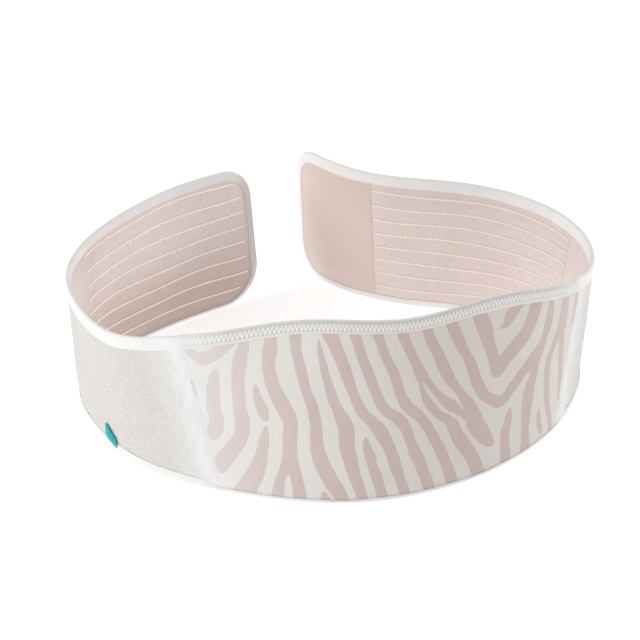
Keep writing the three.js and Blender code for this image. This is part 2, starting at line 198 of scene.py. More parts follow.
pace = BELT_LENGTH / PLAN_STEPS
headings = np.radians(section((np.arange(PLAN_STEPS) + 0.5) * pace - BELT_END, HEADING))
plan_places = np.arange(PLAN_STEPS + 1) * pace - BELT_END
plan_x = np.concatenate([[0], np.cumsum(np.cos(headings) * pace)])
plan_y = np.concatenate([[0], np.cumsum(np.sin(headings) * pace)])


def on_belt(along, up, out):
    """Places of the flat belt, stood up, in metres."""
    heading, lean = np.radians(section(along, HEADING)), np.radians(section(along, LEAN))
    reach = up * np.sin(lean) + out
    x = np.interp(along, plan_places, plan_x) + reach * np.sin(heading)
    y = np.interp(along, plan_places, plan_y) - reach * np.cos(heading)
    return np.stack([x, y, up * np.cos(lean)], -1) * MM


# The solids say where the belt stands: the lower binding runs almost from end to end
BINDING_FACE = 2.75
FOOT_PLACES = 400
foot = np.linspace(CORNERS[-1]["lower"] - BELT_END, BELT_END - CORNERS[1]["lower"], FOOT_PLACES)
foot_places = np.concatenate([
    on_belt(foot, 0 * foot, 0 * foot + face) for face in (-BINDING_FACE, BINDING_FACE)])
solid_low, solid_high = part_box("binding_lower")
stand = (np.array(solid_low + solid_high) - foot_places.min(0) - foot_places.max(0)) / 2
stand[2] = 0


def top_at(along):
    """The height of the belt at places along it."""
    return CENTRE_HEIGHT * section(along, HEIGHT)


def corner_cut(along, level):
    """How far a rounded corner takes the edge of a cloth in."""
    radius = np.where(along < 0, CORNERS[-1][level], CORNERS[1][level]) - EDGE_INSET
    from_arc = np.clip(np.abs(along) - (BELT_END - EDGE_INSET - radius), 0, radius)
    return radius - np.sqrt(radius**2 - from_arc**2)


def cloth_up(along, row):
    """The height of a share of a cloth, from its lower edge to its top."""
    bottom = EDGE_INSET + corner_cut(along, "lower")
    top = top_at(along) - EDGE_INSET - corner_cut(along, "top")
    return bottom + (top - bottom) * row


def eased(share):
    """A share clipped to 0 and 1, with a slow start and stop."""
    share = np.clip(share, 0, 1)
    return share * share * (3 - 2 * share)


def from_edge(along, up):
    """The distance to the nearest edge of the belt, with its rounded corners."""
    from_end = BELT_END - np.abs(along)
    from_side = {"lower": up, "top": top_at(along) - up}
    nearest = np.minimum.reduce([from_end, *from_side.values()])
    for level, gap in from_side.items():
        radius = np.where(along < 0, CORNERS[-1][level], CORNERS[1][level])
        in_corner = (from_end < radius) & (gap < radius)
        nearest = np.where(in_corner, radius - np.hypot(radius - from_end, radius - gap), nearest)
    return nearest


def beyond_print(along, up):
    """How far places lie past the slanting end of the print, for arrays and in materials alike."""
    return abs(along) - up * SEAM_SLOPE - PRINT_LOWER_LENGTH / 2


def crossed(along, up, depth, *waves):
    """Two crossed waves over the flat cloth."""
    first, second = (np.sin(along / by_along + up / by_up + start) for by_along, by_up, start in waves)
    return depth * first * second


def dents(along, up):
    """The slow waves of the laminated cloth, which all its layers share, and its puckers by a seam."""
    from_seam = (beyond_print(along, up) - PUCKERS_BEYOND_PRINT) / PUCKER_REACH
    waves = crossed(along, up, *LAZY_WAVES) + crossed(along, up, *QUICK_WAVES)
    puckers = np.exp(-(from_seam**2)) * crossed(along, up, *SEAM_PUCKERS)
    return (waves + puckers) * np.clip(up / STEADY_FOOT, 0, 1)


def pressed(along, up):
    """The share of the belt's thickness that is left where the edge tapes are sewn through it."""
    return PRESSED_EDGE + (1 - PRESSED_EDGE) * eased(from_edge(along, up) / PRESSED_REACH)


def as_mesh(grid):
    """A mesh of a bmesh grid, with the shares of its width and height at every vertex."""
    mesh = bpy.data.meshes.new("grid")
    grid.to_mesh(mesh)
    grid.free()
    places = np.empty(3 * len(mesh.vertices))
    mesh.vertices.foreach_get("co", places)
    share, row, _ = places.reshape(-1, 3).T + 0.5
    return mesh, share, row


def flat_grid(columns, rows, body_side=False):
    """A flat cloth as a mesh, with the shares of its width and height at every vertex."""
    grid = bmesh.new()
    bmesh.ops.create_grid(grid, x_segments=columns, y_segments=rows, size=0.5)
    if body_side:
        bmesh.ops.reverse_faces(grid, faces=grid.faces)
    for edge in grid.edges:
        edge.smooth = not edge.is_boundary
    return as_mesh(grid)


def stand_up(mesh, along, up, out):
    """Moves the vertices of a flat mesh to their places on the belt, and keeps the flat ones as UVs."""
    places = on_belt(along, up, out * pressed(along, up) + dents(along, up)) + stand
    mesh.vertices.foreach_set("co", places.ravel())
    corners = np.empty(len(mesh.loops), int)
    mesh.loops.foreach_get("vertex_index", corners)
    flat = np.stack([along + BELT_END, up + FLAT_MARGIN], -1) / BELT_LENGTH
    mesh.uv_layers.new(name="flat_belt").data.foreach_set("uv", flat[corners].ravel())
    mesh.update()


def make_piece(name, mesh, finish, replaced=(), wall=0):
    """Puts a mesh in the scene as a piece of the belt, with a thickness if it is a cloth."""
    mesh.name = name
    mesh.materials.append(finish.material)
    mesh.shade_smooth()
    piece = bpy.data.objects.new(name, mesh)
    bpy.context.scene.collection.objects.link(piece)
    if wall:
        thickness = piece.modifiers.new("thickness", "SOLIDIFY")
        thickness.thickness = wall * MM
        thickness.offset = -1
        thickness.use_even_offset = False
    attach(piece, "root")
    if replaced:
        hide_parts(*replaced)
    return piece


class Socket:
    """A socket of a material that takes Python's operators, each of which adds its Math node."""

    def __init__(self, finish, socket):
        self.finish = finish
        self.socket = socket

    def math(self, operation, *others):
        return self.finish.node("ShaderNodeMath", {"operation": operation}, [self, *others])

    def __add__(self, other):
        return self.math("ADD", other)

    def __sub__(self, other):
        return self.math("SUBTRACT", other)

    def __mul__(self, other):
        return self.math("MULTIPLY", other)

    def __abs__(self):
        return self.math("ABSOLUTE")

    def sine(self, length):
        """A wave from -1 to 1, one to a length."""
        return (self * (2 * math.pi / length)).math("SINE")

    def ribs(self, length):
        """A wave from 0 to 1, one to a length."""
        return self.sine(length) * 0.5 + 0.5

    def between(self, low, high):
        """0 below low, 1 above high and smooth between them, or the other way round if low is more."""
        settings = {"interpolation_type": "SMOOTHSTEP"}
        return self.finish.node("ShaderNodeMapRange", settings, [self, low, high, 0.0, 1.0])


class Finish:
    """A cloth's material, on the shares of the flat belt that its UV map holds."""

    SPECULAR = 0.25
    SHEEN_ROUGHNESS = 0.5

    def __init__(self, name, roughness, sheen=0.0):
        self.material = bpy.data.materials.new(name)
        self.material.use_nodes = True
        self.tree = self.material.node_tree
        self.shader = self.tree.nodes["Principled BSDF"]
        self.shader.inputs["Roughness"].default_value = roughness
        self.shader.inputs["Specular IOR Level"].default_value = self.SPECULAR
        self.shader.inputs["Sheen Weight"].default_value = sheen
        self.shader.inputs["Sheen Roughness"].default_value = self.SHEEN_ROUGHNESS

    def node(self, kind, settings, values, output=0):
        """Adds a node: its settings, then the values or links of its sockets, in order or by name."""
        made = self.tree.nodes.new(kind)
        for setting, value in settings.items():
            setattr(made, setting, value)
        for place, value in values.items() if isinstance(values, dict) else enumerate(values):
            if isinstance(value, Socket):
                self.tree.links.new(value.socket, made.inputs[place])
            else:
                made.inputs[place].default_value = value
        return Socket(self, made.outputs[output])

    def flat(self, along_scale=1.0, up_scale=1.0):
        """The flat place of a point, in millimetres, stretched by two scales."""
        uv = self.node("ShaderNodeUVMap", {"uv_map": "flat_belt"}, [])
        scales = (BELT_LENGTH * along_scale, BELT_LENGTH * up_scale, 1)
        return self.node("ShaderNodeVectorMath", {"operation": "MULTIPLY"}, [uv, scales])

    def along(self):
        """How far along the belt a point lies, in millimetres from its middle."""
        return self.node("ShaderNodeSeparateXYZ", {}, [self.flat()], output=0) - BELT_END

    def up(self):
        """How far up the belt a point lies, in millimetres from its lower edge."""
        return self.node("ShaderNodeSeparateXYZ", {}, [self.flat()], output=1) - FLAT_MARGIN

    def speckle(self, size, detail=2.0, along_scale=1.0, up_scale=1.0):
        """Noise from 0 to 1 with grains of a size in millimetres."""
        inputs = {"Vector": self.flat(along_scale, up_scale), "Scale": 1 / size, "Detail": detail}
        return self.node("ShaderNodeTexNoise", {"noise_dimensions": "2D"}, inputs)

    def value_of(self, attribute):
        """The number that an attribute of the mesh holds."""
        return self.node("ShaderNodeAttribute", {"attribute_name": attribute}, [], output=2)

    def mixed(self, share, first, second):
        """A colour between two others."""
        colours = {0: share, 6: first, 7: second}
        return self.node("ShaderNodeMix", {"data_type": "RGBA"}, colours, output=2)

    def patches(self, size, first, second, detail=2.0):
        """Two dyes in soft patches of a size."""
        return self.mixed(self.speckle(size, detail), dye(*first), dye(*second))

    def set(self, colour, height, depth):
        """Links the colour, and a bump whose height from 0 to 1 stands for a depth in millimetres."""
        self.tree.links.new(colour.socket, self.shader.inputs["Base Color"])
        inputs = {"Height": height, "Distance": depth * MM, "Strength": 1.0}
        bump = self.node("ShaderNodeBump", {}, inputs)
        self.tree.links.new(bump.socket, self.shader.inputs["Normal"])


SCREEN_WHITE = 255
SCREEN_OFFSET = 0.055
SCREEN_POWER = 2.4


def dye(*screen_colour):
    """The linear colour, for a shader, of one given as it looks on a screen, from 0 to 255."""
    shares = [value / SCREEN_WHITE for value in screen_colour]
    return (*(((share + SCREEN_OFFSET) / (1 + SCREEN_OFFSET)) ** SCREEN_POWER for share in shares), 1)


def print_edge(row, side=-1):
    """Half the printed panel's length at a share of its height, a little more on the right side."""
    half = (PRINT_LOWER_LENGTH + (PRINT_TOP_LENGTH - PRINT_LOWER_LENGTH) * row) / 2
    return half + PRINT_EXTRA_RIGHT * row * (side > 0)


def smooth_stroke(points):
    """More points along a stroke, on a smooth curve through those of the drawing."""
    points = np.array(points, float)
    ends = np.concatenate([[2 * points[0] - points[1]], points, [2 * points[-1] - points[-2]]])
    places = np.linspace(0, len(points) - 1, (len(points) - 1) * STROKE_STEPS + 1)
    i = np.minimum(places.astype(int), len(points) - 2)
    t = (places - i)[:, None]
    a, b, c, d = ends[i], ends[i + 1], ends[i + 2], ends[i + 3]
    curve = 2 * b + (c - a) * t + (2 * a - 5 * b + 4 * c - d) * t**2 + (3 * b - a - 3 * c + d) * t**3
    return curve / 2


def depth_in(strokes, along, up):
    """How far inside the nearest stroke each place lies, in millimetres, or outside as a minus."""
    depth = np.full(len(along), -STROKE_REACH)
    for points in strokes:
        stroke = smooth_stroke(points)
        for start, stop in zip(stroke[:-1], stroke[1:]):
            reach = max(start[2], stop[2]) + STROKE_REACH
            low = np.minimum(start, stop) - reach
            high = np.maximum(start, stop) + reach
            near = np.flatnonzero((along > low[0]) & (along < high[0]) & (up > low[1]) & (up < high[1]))
            if len(near) == 0:
                continue
            across = stop[:2] - start[:2]
            offset = np.stack([along[near], up[near]], -1) - start[:2]
            t = np.clip(offset @ across / (across @ across), 0, 1)
            gap = np.linalg.norm(offset - t[:, None] * across, axis=1)
            half_width = (start[2] + (stop[2] - start[2]) * t) * BRUSH_SLANT
            depth[near] = np.maximum(depth[near], half_width - gap)
    return depth


mesh, share, row = flat_grid(round(PRINT_TOP_LENGTH / PANEL_STEP), round(CENTRE_HEIGHT / PANEL_STEP))
along = print_edge(row, 1) * share - print_edge(row) * (1 - share)
up = cloth_up(along, row)
stand_up(mesh, along, up, np.full(len(row), OUTER_FACE))
inked = np.minimum(depth_in(STRIPES, along, up), -depth_in(WHITE_LINES, along, up))
mesh.attributes.new("depth_in_stripe", "FLOAT", "POINT").data.foreach_set("value", inked)

knit = Finish("printed_knit", 0.82, sheen=0.08)
stripe_depth = knit.value_of("depth_in_stripe")
fine_fray = (knit.speckle(1.6) - 0.5) * 0.7
slow_fray = (knit.speckle(11, detail=1.0) - 0.5) * 1.4
in_stripe = (stripe_depth + fine_fray + slow_fray).between(-INK_EDGE, INK_EDGE)
wash = knit.speckle(38, detail=1.0)
ground = knit.mixed(wash, dye(238, 236, 231), dye(232, 229, 224))
pink = knit.mixed(wash, dye(220, 202, 197), dye(212, 194, 188))
inked_cloth = knit.mixed(in_stripe, ground, pink)
along_print = knit.along()
# Painted light: the whites and pinks of the print are paler beside both seams, most on the left.
painted_light_by_seams = along_print.between(-80, -185) * 0.42 + along_print.between(110, 190) * 0.2
print_painted_light = knit.mixed(painted_light_by_seams, inked_cloth, dye(250, 250, 249))
# Painted shade: from the middle to the right the print is darker and warmer.
painted_shade_rightwards = along_print.between(-110, 40) * 0.18
print_painted_shade = knit.mixed(painted_shade_rightwards, print_painted_light, dye(189, 162, 142))
knit_ribs = along_print.ribs(KNIT_RIB)
knit_grain = knit.speckle(0.9, detail=3.0, up_scale=0.4)
knitted = knit.mixed(knit_ribs * knit_grain * 0.28, print_painted_shade, dye(170, 158, 152))
knit.set(knitted, knit_ribs * 0.5 + knit_grain * 0.5, PRINT_DEPTH)

printed_panel = make_piece(
    "printed_panel", mesh, knit, ["centre_panel"], wall=OUTER_CLOTH)


# Brushed loop cloths
# The outside of both wings is a cream loop cloth that the hooks of the other end grip. Its brushed
# loops stand up in small tufts, and its cut edges run under the seam tapes and the binding.

SEAM_TAPE_WIDTH = 18
LOOP_STEP = 1.5
LOOP_ROWS = 89
TUFT = 0.14
TUFT_SEED = 11
TUFTS_CALM_NEAR_EDGE = 4
# How far past the print's end the painted light beside the seam tapes is full, and where it has faded out
PAINTED_LIGHT_BEYOND_PRINT = (49, 15)
LOOP_DEPTH = 0.5


def tufts(columns, rows, seed):
    """Small random heights for a brushed cloth, smoothed over a few neighbours."""
    heights = np.random.default_rng(seed).uniform(-1, 1, (rows + 1, columns + 1))
    for axis in (0, 1):
        heights = heights + 0.5 * (np.roll(heights, 1, axis) + np.roll(heights, -1, axis))
    return heights


brushed = Finish("brushed_loops", 0.95, sheen=0.15)
tuft = brushed.speckle(1.2, detail=3.0, up_scale=1.25)
curl = brushed.speckle(0.7)
brushed_rows = brushed.speckle(3.2, along_scale=0.3)
cream = brushed.patches(55, (217, 213, 208), (222, 219, 215), detail=1.0)
rows_tint = brushed.mixed(brushed_rows.between(0.45, 0.75) * 0.5, cream, dye(231, 229, 226))
# Painted shade in the hollows between the tufts, and painted highlights on the curled tips of the loops.
tufts_painted_shade = brushed.mixed(tuft.between(0.53, 0.36) * 0.75, rows_tint, dye(194, 188, 180))
tips = brushed.mixed(curl.between(0.55, 0.68) * 0.85, tufts_painted_shade, dye(245, 243, 238))
# Painted light: the loop cloth is paler beside the seam tapes.
lit_near_tape = beyond_print(brushed.along(), brushed.up()).between(*PAINTED_LIGHT_BEYOND_PRINT)
loops_painted_light = brushed.mixed(lit_near_tape * 0.7, tips, dye(236, 235, 232))
brushed.set(loops_painted_light, tuft * 0.6 + curl * 0.4, LOOP_DEPTH)

wing_length = BELT_END - EDGE_INSET - (PRINT_TOP_LENGTH + PRINT_LOWER_LENGTH) / 4
columns = round(wing_length / LOOP_STEP)
for side, hand in ((-1, "left"), (1, "right")):
    mesh, share, row = flat_grid(columns, LOOP_ROWS)
    inner = print_edge(row) + SEAM_TAPE_WIDTH + 2 * CLOTH_GAP
    outer = BELT_END - EDGE_INSET
    from_inner = share if side > 0 else 1 - share
    along = side * (inner + (outer - inner) * from_inner)
    heights = tufts(columns, LOOP_ROWS, TUFT_SEED + side)
    tuft_height = heights[np.rint(row * LOOP_ROWS).astype(int), np.rint(share * columns).astype(int)]
    steps_from_edge = np.minimum(from_inner, 1 - from_inner) * columns
    calm = np.clip(steps_from_edge / TUFTS_CALM_NEAR_EDGE, 0, 1)
    stand_up(mesh, along, cloth_up(along, row), OUTER_FACE + TUFT * tuft_height * calm)
    loop_cloth = make_piece(
        f"loop_cloth_{hand}", mesh, brushed, [f"loop_panel_{hand}"], wall=OUTER_CLOTH)


# Seam tapes
# A smooth white woven tape covers the slanting seam at each end of the print. It is sewn down
# along both its edges, which pulls them in and leaves its middle slightly proud.

SEAM_TAPE_WALL = 0.7
TAPE_OVER_PRINT = 0.7
TAPE_OVER_LOOPS = 1.7
TAPE_CROWN = 0.6
TAPE_CREASE = 0.3
TAPE_STEPS = (14, 96)
TAPE_RIB = 0.9
TAPE_DEPTH = 0.35
TAPE_THREAD = 0.16
TAPE_STITCH = 3.2
TAPE_STITCH_INSET = 1.6
TAPE_STITCH_LIFT = 0.28
SEWN_SHARES = (0.03, 0.94)
STITCH_PLACES = 240
STITCH_SUNK = 0.6
STITCH_NECK = 0.45
BARE_SEAM_FOOT = (79, 83)
BARE_SEAM_TOP = (98, 94)
THREAD_SIDES = 6
THREAD_TIP = 0.02
THREAD_FLECK = 2
THREAD_TWIST = 0.4
THREAD_DEPTH = 0.05
WELD = 0.00001


def threads(name, lines, finish):
    """Sewn threads. Each line has places (along, up, out) of its middle, and the radius at each."""
    grid = bmesh.new()
    for places, _ in lines:
        bmesh.ops.create_grid(grid, x_segments=len(places) - 1, y_segments=THREAD_SIDES, size=0.5)
    mesh, share, row = as_mesh(grid)
    bent = []
    first = 0
    for places, radii in lines:
        last = first + len(places) * (THREAD_SIDES + 1)
        i = np.rint(share[first:last] * (len(places) - 1)).astype(int)
        turn = row[first:last] * 2 * math.pi
        ahead = np.gradient(places, axis=0)[i]
        ahead /= np.linalg.norm(ahead, axis=1)[:, None]
        sideways = np.cross(ahead, (0, 0, 1))
        upright = np.cross(sideways, ahead)
        round_it = np.cos(turn)[:, None] * sideways + np.sin(turn)[:, None] * upright
        bent.append(places[i] + radii[i][:, None] * round_it)
        first = last
    bent = np.concatenate(bent)
    stand_up(mesh, bent[:, 0], bent[:, 1], bent[:, 2])
    weld = bmesh.new()
    weld.from_mesh(mesh)
    bmesh.ops.remove_doubles(weld, verts=weld.verts, dist=WELD)
    bmesh.ops.recalc_face_normals(weld, faces=weld.faces)
    weld.to_mesh(mesh)
    weld.free()
    return make_piece(name, mesh, finish)


def stitched(along, up, out, pitch, radius):
    """A row of stitches along places: fat in the middle of each and drawn into the cloth at its ends."""
    places = np.stack([along, up, out], -1)
    travelled = np.concatenate([[0], np.cumsum(np.linalg.norm(np.diff(places, axis=0), axis=1))])
    stitch = np.abs(np.sin(np.pi * travelled / pitch)) ** 0.5
    places[:, 2] += np.sign(out) * radius * (stitch - STITCH_SUNK)
    radii = radius * (STITCH_NECK + (1 - STITCH_NECK) * stitch)
    radii[[0, -1]] = THREAD_TIP
    return places, radii


def spun_thread(name, pale, deep):
    """The finish of a sewing thread, flecked with two dyes, whose twist shows as fine bumps."""
    finish = Finish(name, 0.6)
    finish.set(finish.patches(THREAD_FLECK, pale, deep), finish.speckle(THREAD_TWIST), THREAD_DEPTH)
    return finish


woven = Finish("seam_tape", 0.6, sheen=0.05)
along_tape, up_tape = woven.along(), woven.up()
tape_white = woven.patches(9, (242, 242, 242), (235, 235, 235))
across_tape = beyond_print(along_tape, up_tape)
over_loops = across_tape.between(7, 19)
fluff = woven.speckle(1.2, detail=3.0, up_scale=1.25)
fluffed = woven.mixed(over_loops * fluff.between(0.62, 0.38), tape_white, dye(222, 219, 213))
on_left_wing = along_tape.between(0, -1)
by_bare_seam = up_tape.between(*BARE_SEAM_FOOT) * up_tape.between(*BARE_SEAM_TOP)
loose_stitches = up_tape.sine(TAPE_STITCH).between(-0.6, 0.2)
bare_seam = across_tape.between(1.5, 0.9) * by_bare_seam * loose_stitches * on_left_wing
seam_marked = woven.mixed(bare_seam * 0.28, fluffed, dye(178, 178, 176))
woven.set(seam_marked, up_tape.ribs(TAPE_RIB) * 0.15 + over_loops * fluff - bare_seam, TAPE_DEPTH)
white_thread = spun_thread("white_thread", (250, 249, 246), (243, 242, 239))

sewn_rows = np.linspace(*SEWN_SHARES, STITCH_PLACES)
for side, hand in ((-1, "left"), (1, "right")):
    mesh, share, row = flat_grid(*TAPE_STEPS)
    across = share if side > 0 else 1 - share
    inner = print_edge(row, side) - TAPE_OVER_PRINT
    outer = print_edge(row) + SEAM_TAPE_WIDTH + TAPE_OVER_LOOPS
    along = side * (inner + (outer - inner) * across)
    up = cloth_up(along, row)
    crown = 1 - np.abs(2 * across - 1) ** 3
    creases = TAPE_CREASE * crown * np.sin(up / 4.3 + 9 * across) * np.sin(up / 13 + 2 * across + 0.5)
    stand_up(mesh, along, up, OUTER_FACE + TAPE_CROWN * crown + creases)
    tape = make_piece(
        f"white_tape_{hand}", mesh, woven, [f"seam_tape_{hand}"], wall=SEAM_TAPE_WALL)
    by_print = print_edge(sewn_rows, side) + TAPE_STITCH_INSET
    by_loops = print_edge(sewn_rows) + SEAM_TAPE_WIDTH - TAPE_STITCH_INSET
    out = np.full(STITCH_PLACES, OUTER_FACE + TAPE_STITCH_LIFT)
    lines = [
        stitched(along, cloth_up(along, sewn_rows), out, TAPE_STITCH, TAPE_THREAD)
        for along in (side * by_print, side * by_loops)]
    stitches = threads(f"tape_stitches_{hand}", lines, white_thread)


# Channelled linings
# The inside of each wing is a pink knit, sewn through in long parallel channels with cream thread.
# The foam behind it puffs up between one row of stitches and the next.

LINING_FACE = 1.45
LINING_WALL = 1.1
CHANNEL_LINES = 8
CHANNEL_LENGTH = 205
HOOK_TOP_LENGTH = 95
HOOK_LOWER_LENGTH = 104
LOWEST_LINE = 18
HIGHEST_LINE_FROM_TOP = {"left": 12.5, "right": 18}
PUFF = 1.1
PUFF_FULL = 0.85
PUFF_VARIES = 0.25
PUFF_PAST_LEFT = 4
PUFF_PAST_RIGHT = 2
PUFF_END = 9
PUFF_EDGE = 8
PAD = 2.2
PAD_FROM_EDGE = 7
PAD_SLOPE = 18
LINING_STEPS = (140, 144)
LINING_RIB = 2.1
LINING_DEPTH = 0.18
CHANNEL_THREAD = 0.78
CHANNEL_THREAD_OUT = 0.8
CHANNEL_STITCH = 3.4
LINE_PLACES = 440
LINE_WANDER = 0.7
LINE_FROM_EDGE = 10
LINE_PAST_SEAM = {"left": 8, "right": -1}
PAINTED_THREAD_GLOW = 0.18


def hook_seam(row):
    """Where the hook patch meets the right lining at a share of the height."""
    return BELT_END - HOOK_LOWER_LENGTH - (HOOK_TOP_LENGTH - HOOK_LOWER_LENGTH) * row


def line_rows(hand):
    """The shares of the height at which a wing's channels are sewn."""
    height = float(top_at(-BELT_END))
    ups = np.linspace(LOWEST_LINE, height - HIGHEST_LINE_FROM_TOP[hand], CHANNEL_LINES)
    return ups / height


def pad(along, up):
    """How far the foam lifts the inner face, from the edge tapes inwards."""
    return PAD * eased((from_edge(along, up) - PAD_FROM_EDGE) / PAD_SLOPE)


LEFT_SEAM = CHANNEL_LENGTH - BELT_END
RIGHT_SEAM = BELT_END - HOOK_TOP_LENGTH - CHANNEL_LENGTH


def puffed(along, up, hand, left, right):
    """How far the channels stand towards the body: nothing at a stitch line and most between two."""
    bounds = np.concatenate([[0], line_rows(hand), [1]])
    height = up / top_at(along)
    i = np.clip(np.searchsorted(bounds, height, side="right") - 1, 0, len(bounds) - 2)
    within = (height - bounds[i]) / (bounds[i + 1] - bounds[i])
    arch = np.sin(np.pi * np.clip(within, 0, 1))
    full = PUFF_FULL + PUFF_VARIES * np.sin(along / 9.3 + 2.1 * i) * np.sin(along / 23 + i)
    clear = np.minimum(right - along + PUFF_PAST_RIGHT, along - left + PUFF_PAST_LEFT)
    by_edge = from_edge(along, up) - PAD_FROM_EDGE
    return PUFF * arch * full * eased(clear / PUFF_END) * eased(by_edge / PUFF_EDGE)


lining_finish = Finish("channel_knit", 0.85, sheen=0.1)
along_lining, up_lining = lining_finish.along(), lining_finish.up()
lining_pink = lining_finish.patches(42, (234, 221, 217), (227, 213, 209), detail=1.0)
# Painted light: the left lining is lighter at its top towards the free end.
lit_left_top = along_lining.between(-400, -440) * up_lining.between(30, 110)
lining_painted_light = lining_finish.mixed(lit_left_top * 0.5, lining_pink, dye(246, 234, 229))
# Painted shade: the left lining is darker at its foot towards the free end.
shaded_left_foot = along_lining.between(-300, -420) * up_lining.between(85, 5)
lining_painted_shade = lining_finish.mixed(shaded_left_foot * 0.78, lining_painted_light, dye(198, 176, 167))
lining_ribs = along_lining.ribs(LINING_RIB)
lining_grain = lining_finish.speckle(1.6, detail=3.0, up_scale=0.25)
grooves = lining_ribs * lining_grain.between(0.35, 0.65)
ribbed = lining_finish.mixed(grooves * 0.26, lining_painted_shade, dye(192, 171, 163))
lining_finish.set(ribbed, lining_ribs * 0.6 + lining_grain * 0.4, LINING_DEPTH)

cream_thread = Finish("cream_thread", 0.6, sheen=0.6)
# Painted light: the cream thread glows a little, so that it shows as bright as a lit thread.
cream_thread.shader.inputs["Emission Strength"].default_value = PAINTED_THREAD_GLOW
along_thread = cream_thread.along()
# Towards the right end the painted glow dims and the thread turns a darker pink.
dimmer_rightwards = along_thread.between(0, 300) * 0.5 - along_thread.between(330, 450) * 0.28
painted_glow = cream_thread.mixed(dimmer_rightwards, dye(252, 241, 234), dye(120, 108, 103))
cream_thread.tree.links.new(painted_glow.socket, cream_thread.shader.inputs["Emission Color"])
thread_cream = cream_thread.patches(THREAD_FLECK, (253, 246, 238), (248, 240, 230))
thread_tone = cream_thread.mixed(dimmer_rightwards, thread_cream, dye(236, 224, 218))
cream_thread.set(thread_tone, cream_thread.speckle(THREAD_TWIST), THREAD_DEPTH)

linings = {
    "left": (lambda row: EDGE_INSET - BELT_END + 0 * row, lambda row: LEFT_SEAM + 0 * row),
    "right": (lambda row: RIGHT_SEAM + CLOTH_GAP + 0 * row, hook_seam),
}
for hand, (left_of, right_of) in linings.items():
    mesh, share, row = flat_grid(*LINING_STEPS, body_side=True)
    left, right = left_of(row), right_of(row)
    along = left + (right - left) * share
    up = cloth_up(along, row)
    stand_up(mesh, along, up, -LINING_FACE - pad(along, up) - puffed(along, up, hand, left, right))
    lining = make_piece(
        f"channel_lining_{hand}", mesh, lining_finish, [f"lining_{hand}"], wall=LINING_WALL)
    lines = []
    for line_row in line_rows(hand):
        line_end = right_of(line_row) + LINE_PAST_SEAM[hand]
        along = np.linspace(left_of(line_row), line_end, LINE_PLACES)
        up = top_at(along) * line_row + LINE_WANDER * np.sin(along / 21 + 9 * line_row)
        sewn = from_edge(along, up) > LINE_FROM_EDGE
        along, up = along[sewn], up[sewn]
        out = -LINING_FACE - pad(along, up) - CHANNEL_THREAD * CHANNEL_THREAD_OUT
        lines.append(stitched(along, up, out, CHANNEL_STITCH, CHANNEL_THREAD))
    channel_threads = threads(f"channel_stitches_{hand}", lines, cream_thread)


# Plain lining and hook patch
# Between the wings the inside is the same pink knit, left smooth. The right end carries a plain
# patch of hook tape, whose fine hooks are too small to see apart, sewn down along its straight seam.

SEAM_OVERLAP = 3.5
SEAM_TUCK = 0.03
MIDDLE_STEPS = (300, 60)
HOOK_PITCH = 1.2
HOOK_DEPTH = 0.2
HOOK_STEPS = (80, 110)
HOOK_OVERLAP = 0.8
HOOK_LIFT = 0.12
HOOK_SEWN_SHARES = (0.06, 0.94)
HOOK_STITCH = 2.8
HOOK_THREAD = 0.3
HOOK_STITCH_INSET = 0.6

mesh, share, row = flat_grid(*MIDDLE_STEPS, body_side=True)
along = LEFT_SEAM - SEAM_OVERLAP + (RIGHT_SEAM + 2 * SEAM_OVERLAP - LEFT_SEAM) * share
up = cloth_up(along, row)
tucked = SEAM_TUCK * ((along < LEFT_SEAM + CLOTH_GAP) | (along > RIGHT_SEAM))
stand_up(mesh, along, up, -LINING_FACE - pad(along, up) + tucked)
lining_middle = make_piece(
    "lining_middle", mesh, lining_finish, ["lining_centre"], wall=LINING_WALL)

hook_finish = Finish("hook_tape", 0.75, sheen=0.05)
hooks = hook_finish.along().sine(HOOK_PITCH) * hook_finish.up().sine(HOOK_PITCH) * 0.5 + 0.5
hook_pink = hook_finish.patches(30, (232, 216, 208), (227, 208, 200))
hook_dots = hook_finish.mixed(hooks * 0.12, hook_pink, dye(204, 184, 175))
hook_finish.set(hook_dots, hooks, HOOK_DEPTH)
pink_thread = spun_thread("pink_thread", (240, 226, 218), (233, 218, 210))

mesh, share, row = flat_grid(*HOOK_STEPS, body_side=True)
start = hook_seam(row) - HOOK_OVERLAP
along = start + (BELT_END - EDGE_INSET - start) * share
up = cloth_up(along, row)
stand_up(mesh, along, up, -LINING_FACE - pad(along, up) - HOOK_LIFT)
hook_cloth = make_piece("hook_cloth", mesh, hook_finish, ["hook_patch"], wall=LINING_WALL)
sewn_rows = np.linspace(*HOOK_SEWN_SHARES, STITCH_PLACES)
along = hook_seam(sewn_rows) + HOOK_STITCH_INSET
up = cloth_up(along, sewn_rows)
line = stitched(along, up, -LINING_FACE - pad(along, up) - HOOK_THREAD, HOOK_STITCH, HOOK_THREAD)
hook_stitches = threads("hook_stitches", [line], pink_thread)


# Binding
# A smooth white stretch tape is folded over the belt's edge and sewn through along both its legs.
# It runs from one end of the trim round both wings and under the print, where it shows as a cord.

BINDING_LEG = 11
LOWER_OUTER_LEG = 8
END_INNER_LEG = 6.5
INNER_LEGS = {"left": {"top": 8.5, "lower": 2.7}, "right": {"top": 10.5, "lower": 6}}
LEG_OVER_PRINT = 2.6
TAPE_FOLD = 2.4
TAPE_LIES_AT = 1.62
TAPE_BELLY = 0.85
TAPE_WALL = 0.5
TAPE_PUCKER = 0.1
PATH_STEP = 2.4
ARC_POINTS = 12
FOLD_POINTS = 10
LEG_POINTS = 7
LEG_CHANGES_OVER = 120
LEG_WANDER = 0.4
BINDING_STITCH = 3
BINDING_THREAD = 0.24
BINDING_STITCH_INSET = 1.6
BINDING_STITCH_REACH = 1.2
BINDING_STITCH_LIFT = 0.4
BINDING_RIB = 0.8
BINDING_DEPTH = 0.08


